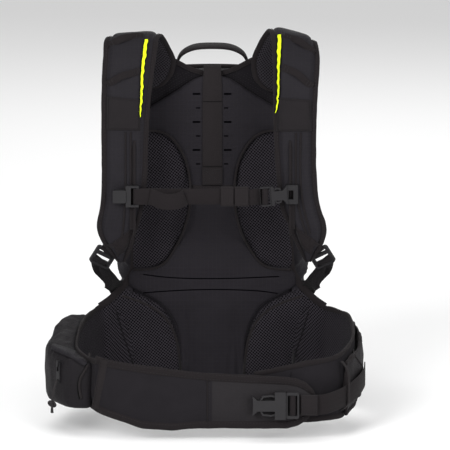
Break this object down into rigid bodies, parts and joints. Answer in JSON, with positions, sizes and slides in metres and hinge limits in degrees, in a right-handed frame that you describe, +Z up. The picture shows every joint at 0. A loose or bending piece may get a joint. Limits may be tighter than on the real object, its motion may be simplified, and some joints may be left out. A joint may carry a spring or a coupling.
{
  "type": "avalanche airbag backpack",
  "caption": "Small avalanche airbag backpack with a sliding shoulder harness, chest strap, wide padded hip belt with zipped hip pocket, and a stowed airbag system inside.",
  "frame": {"origin": "on the floor, in the middle of the bag's width, on the plane between the bag and its back panel", "axes": "+Z up; -Y from the back panel towards the wearer; +X towards the wearer's left"},
  "size_m": [0.3941, 0.4121, 0.4804],
  "materials": {
    "ripstop": "matte",
    "mesh": "matte",
    "webbing": "matte",
    "buckle": "satin",
    "zip": "satin",
    "sheet": "matte",
    "stay": "satin",
    "cartridge": "satin",
    "gas_parts": "matte",
    "airbag": "matte"
  },
  "bodies": {
    "pack": {"bag_back_wall": "ripstop", "bag_base": "ripstop", "bag_top": "ripstop", "bag_side_left": "ripstop", "bag_side_right": "ripstop", "bag_front_panel": "ripstop", "tool_pocket": "ripstop", "main_zip_track": "zip", "compression_straps": "webbing", "compression_buckles": "buckle", "haul_loop_tabs": "webbing", "gas_cartridge": "cartridge", "firing_head": "stay", "lever_pin": "stay", "jet_pump": "gas_parts", "check_valve_flap": "gas_parts", "hose_clamp": "cartridge", "folded_airbag": "airbag", "release_cable": "gas_parts", "frame_sheet": "sheet", "frame_stays": "stay", "centre_pad": "ripstop", "upper_mesh_pad_left": "mesh", "upper_mesh_pad_right": "mesh", "lumbar_mesh_pad_left": "mesh", "lumbar_mesh_pad_right": "mesh", "adjuster_anchors": "webbing"},
    "haul_loop": {"haul_loop": "webbing"},
    "main_zip": {"main_zip_slider": "zip"},
    "main_zip_pull": {"main_zip_puller": "zip"},
    "lever": {"release_lever": "stay"},
    "yoke": {"yoke_plate": "ripstop", "length_strap": "webbing", "shoulder_strap_left": "ripstop", "shoulder_strap_right": "ripstop", "chest_strap_rails": "webbing", "adjuster_webbing_left": "webbing", "adjuster_webbing_right": "webbing"},
    "trigger": {"trigger_handle": "gas_parts"},
    "lock_left": {"ladder_lock_left": "buckle"},
    "lock_right": {"ladder_lock_right": "buckle"},
    "chest": {"chest_slider_whistle": "buckle", "chest_buckle_socket": "buckle"},
    "chest_plug": {"chest_buckle_plug": "buckle", "chest_webbing": "webbing", "chest_strap_keepers": "webbing"},
    "wing_right": {"belt_wing_right": "ripstop", "hip_pocket_right": "ripstop", "hip_zip_track": "zip", "belt_front_band": "ripstop", "belt_buckle_tab": "webbing", "belt_buckle_socket": "buckle"},
    "wing_left": {"belt_wing_left": "ripstop", "hip_pocket_left": "ripstop"},
    "belt_plug": {"belt_buckle_plug": "buckle", "belt_webbing": "webbing"},
    "hip_zip": {"hip_zip_slider": "zip"},
    "hip_zip_pull": {"hip_zip_puller": "zip"}
  },
  "joints": [
    {"name": "haul_loop_swing", "type": "hinge", "parent": "pack", "child": "haul_loop", "pos_m": [0, 0.022, 0.426], "axis": [1, 0, 0], "range_deg": [-25, 15]},
    {"name": "main_zip_travel", "type": "slide", "parent": "pack", "child": "main_zip", "axis": [0, -0.0754, 0.9972], "range_m": [-0.13, 0.12]},
    {"name": "main_zip_puller_flip", "type": "hinge", "parent": "main_zip", "child": "main_zip_pull", "pos_m": [0.0725, 0.1229, 0.20648], "axis": [1, 0, 0], "range_deg": [0, 150]},
    {"name": "release_lever_turn", "type": "hinge", "parent": "pack", "child": "lever", "pos_m": [0.058, 0.037, 0.266], "axis": [1, 0, 0], "range_deg": [0, 26]},
    {"name": "back_length", "type": "slide", "parent": "pack", "child": "yoke", "axis": [0, 0, 1], "range_m": [0, 0.105], "deforming": ["adjuster_webbing_left", "adjuster_webbing_right"]},
    {"name": "trigger_pull", "type": "slide", "parent": "yoke", "child": "trigger", "axis": [0, 0, -1], "range_m": [0, 0.018], "stiffness_N_per_m": 200},
    {"name": "ladder_lock_left_tilt", "type": "hinge", "parent": "yoke", "child": "lock_left", "pos_m": [0.13114, -0.07169, 0.21025], "axis": [0.8152, -0.3561, 0.4568], "range_deg": [-8, 12]},
    {"name": "ladder_lock_right_tilt", "type": "hinge", "parent": "yoke", "child": "lock_right", "pos_m": [-0.13114, -0.07169, 0.21025], "axis": [0.8152, 0.3561, -0.4568], "range_deg": [-8, 12]},
    {"name": "chest_strap_height", "type": "slide", "parent": "yoke", "child": "chest", "axis": [0, 0, 1], "range_m": [-0.025, 0.04]},
    {"name": "chest_buckle_release", "type": "slide", "parent": "chest", "child": "chest_plug", "axis": [-0.9962, 0, -0.0872], "range_m": [0, 0.028], "deforming": ["chest_webbing"]},
    {"name": "wing_right_open", "type": "hinge", "parent": "pack", "child": "wing_right", "pos_m": [-0.113, -0.007, 0.075], "axis": [0, 0, -1], "range_deg": [0, 60]},
    {"name": "wing_left_open", "type": "hinge", "parent": "pack", "child": "wing_left", "pos_m": [0.113, -0.007, 0.075], "axis": [0, 0, 1], "range_deg": [0, 60]},
    {"name": "belt_buckle_release", "type": "slide", "parent": "wing_left", "child": "belt_plug", "axis": [1, 0, 0], "range_m": [0, 0.036], "deforming": ["belt_webbing"]},
    {"name": "hip_zip_travel", "type": "slide", "parent": "wing_right", "child": "hip_zip", "axis": [0.5503, -0.835, 0], "range_m": [-0.027, 0.007]},
    {"name": "hip_zip_puller_flip", "type": "hinge", "parent": "hip_zip", "child": "hip_zip_pull", "pos_m": [-0.19076, -0.19615, 0.0895], "axis": [-0.5503, 0.835, 0], "range_deg": [0, 150]}
  ],
  "couplings": [
    {"joint": "release_lever_turn", "follows": "trigger_pull", "rad_per_m": 24}
  ]
}
